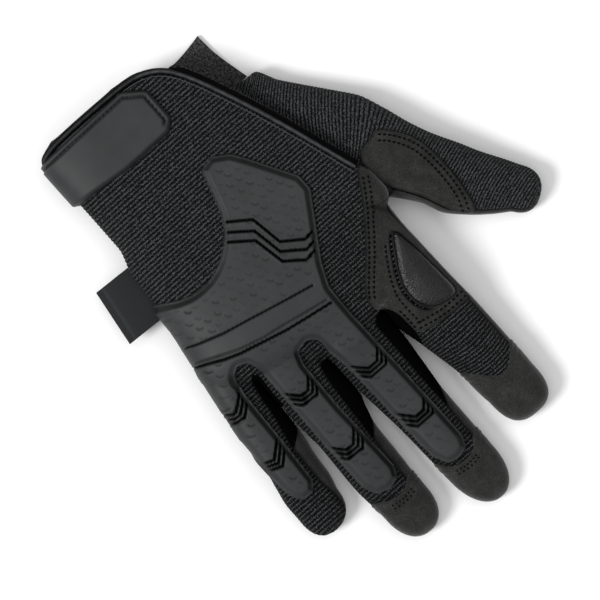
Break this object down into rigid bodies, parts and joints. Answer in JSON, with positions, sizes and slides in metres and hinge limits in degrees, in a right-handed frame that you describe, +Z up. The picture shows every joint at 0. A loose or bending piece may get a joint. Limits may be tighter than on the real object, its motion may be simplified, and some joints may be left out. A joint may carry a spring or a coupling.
{
  "type": "tactical glove",
  "caption": "Right-hand tactical glove, palm down: ribbed knit back, moulded rubber guard on knuckles and fingers, suede patches, bound cuff, strap with rubber tab.",
  "frame": {"origin": "under the middle of the glove's outline, on the surface that the palm lies on", "axes": "+Z up off the back of the hand, +Y from the wrist to the fingertips, +X from the thumb to the little finger"},
  "size_m": [0.1754, 0.2365, 0.0315],
  "materials": {
    "rib_knit": "matt ribbed polyester knit, near black, ribs across the hand",
    "suede": "napped synthetic suede, very dark warm grey",
    "guard_rubber": "moulded thermoplastic rubber, charcoal, satin with fine dimples",
    "stretch_side": "matt black stretch cloth between the fingers",
    "grained_insert": "grained synthetic leather, satin, over a foam pad",
    "satin_binding": "black folded binding tape with a slight sheen",
    "loop_strap": "brushed loop tape, dark grey",
    "woven_label": "plain woven tape, near black"
  },
  "bodies": {
    "root": {"palm_panel": "suede", "back_panel": "rib_knit", "thumb_panel": "rib_knit", "thumb_palm": "suede", "index_tip": "suede", "middle_tip": "suede", "ring_tip": "suede", "index_back": "rib_knit", "fourchette_index_middle": "stretch_side", "fourchette_middle_ring": "stretch_side", "fourchette_ring_little": "stretch_side", "knuckle_guard": "guard_rubber", "index_patch": "suede", "index_pad": "grained_insert", "thumb_patch": "suede", "wrist_binding": "satin_binding", "cuff_tab": "guard_rubber", "wrist_strap": "loop_strap", "side_label": "woven_label"}
  },
  "joints": []
}
